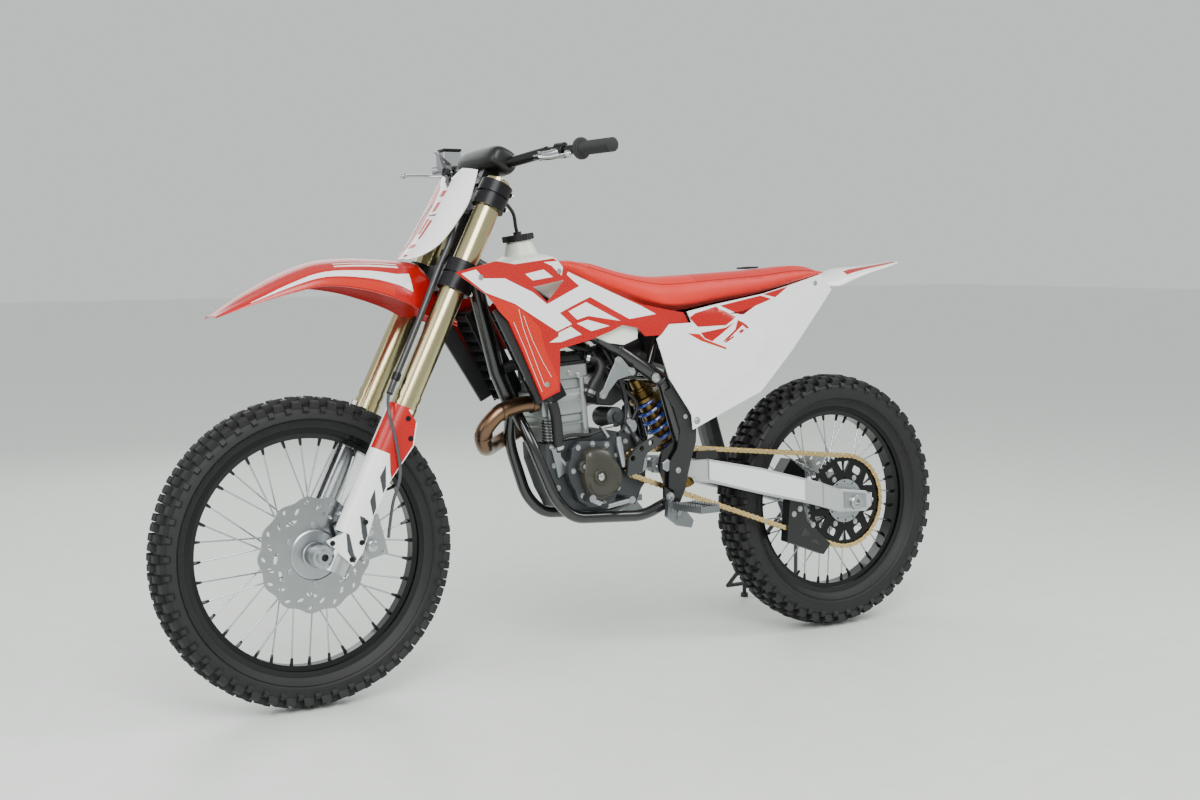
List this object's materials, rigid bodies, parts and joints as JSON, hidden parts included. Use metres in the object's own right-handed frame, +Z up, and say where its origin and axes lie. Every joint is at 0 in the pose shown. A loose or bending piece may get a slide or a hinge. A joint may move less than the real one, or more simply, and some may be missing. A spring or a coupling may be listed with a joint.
{
  "type": "dirt bike",
  "caption": "Off-road motorcycle with knobby wire-spoke wheels, long-travel fork, slim seat and tank, leaning on a plug-in triangle stand in its rear axle.",
  "frame": {"origin": "centre of the bounding box on the floor", "axes": "+X forward along the wheels' track, +Y to the rider's left, +Z up; the bike leans to its right onto its stand"},
  "size_m": [2.176, 0.8034, 1.3066],
  "materials": {
    "frame_paint": "gloss black paint",
    "engine_alloy": "dark cast alloy",
    "bare_alloy": "bare cast alloy",
    "cover_bronze": "satin bronze grey",
    "black_plastic": "matt moulded",
    "header_steel": "heat tinted",
    "silencer_alloy": "brushed",
    "tank_plastic": "translucent white",
    "radiator_alloy": "black coated fins",
    "red_plastic": "gloss red",
    "white_plastic": "gloss white",
    "seat_cover": "red grippy vinyl",
    "shock_bronze": "anodised",
    "spring_blue": "gloss blue",
    "arm_alloy": "bright",
    "chain_gold": "gold plated links",
    "steel": "plain steel",
    "peg_steel": "cast steel",
    "caliper_alloy": "satin",
    "stand_paint": "black paint",
    "fork_gold": "champagne anodised",
    "leg_steel": "polished",
    "bar_black": "black anodised",
    "foam": "covered foam",
    "grip_rubber": "ribbed",
    "hose": "braided cover",
    "tyre": "knobby",
    "rim_black": "black anodised",
    "spoke_steel": "bright",
    "hub_alloy": "satin",
    "disc_steel": "ground",
    "sprocket_black": "black anodised"
  },
  "bodies": {
    "frame": {"frame_spars": "frame_paint", "frame_cradle": "frame_paint", "subframe": "frame_paint", "engine_case": "engine_alloy", "cylinder": "bare_alloy", "engine_covers": "cover_bronze", "sprocket_cover": "black_plastic", "header_pipe": "header_steel", "silencer": "silencer_alloy", "airbox": "black_plastic", "throttle_body": "black_plastic", "fuel_tank": "tank_plastic", "fuel_cap": "black_plastic", "radiators": "radiator_alloy", "radiator_louvres": "black_plastic", "shrouds": "red_plastic", "side_panels": "white_plastic", "seat": "seat_cover", "rear_fender": "white_plastic", "mud_flap": "black_plastic", "shock": "shock_bronze", "shock_spring": "spring_blue", "swingarm": "arm_alloy", "chain_guides": "black_plastic", "chain": "chain_gold", "front_sprocket": "steel", "frame_guards": "black_plastic", "footpegs": "peg_steel", "foot_controls": "bare_alloy", "rear_caliper": "caliper_alloy", "triangle_stand": "stand_paint", "rear_axle": "steel"},
    "steering": {"triple_clamps": "frame_paint", "fork_tubes": "fork_gold", "fork_legs": "leg_steel", "fork_guards": "white_plastic", "front_fender": "red_plastic", "number_plate": "white_plastic", "handlebar": "bar_black", "bar_pad": "foam", "grips": "grip_rubber", "hand_controls": "bare_alloy", "front_caliper": "caliper_alloy", "brake_hose": "hose", "front_axle": "steel"},
    "front_wheel": {"front_tyre": "tyre", "front_rim": "rim_black", "front_spokes": "spoke_steel", "front_hub": "hub_alloy", "front_disc": "disc_steel"},
    "rear_wheel": {"rear_tyre": "tyre", "rear_rim": "rim_black", "rear_spokes": "spoke_steel", "rear_hub": "hub_alloy", "rear_sprocket": "sprocket_black", "rear_disc": "disc_steel"}
  },
  "joints": [
    {"name": "steering_stem", "type": "hinge", "parent": "frame", "child": "steering", "pos_m": [0.31957, 0.01084, 1.0338], "axis": [-0.454, -0.0504, 0.8896], "range_deg": [-40, 40]},
    {"name": "front_wheel_spin", "type": "hinge", "parent": "steering", "child": "front_wheel", "pos_m": [0.738, 0.04953, 0.35023], "axis": [0, 0.9984, 0.0565], "continuous": true},
    {"name": "rear_wheel_spin", "type": "hinge", "parent": "frame", "child": "rear_wheel", "pos_m": [-0.747, 0.05004, 0.34125], "axis": [0, 0.9984, 0.0565], "continuous": true}
  ]
}
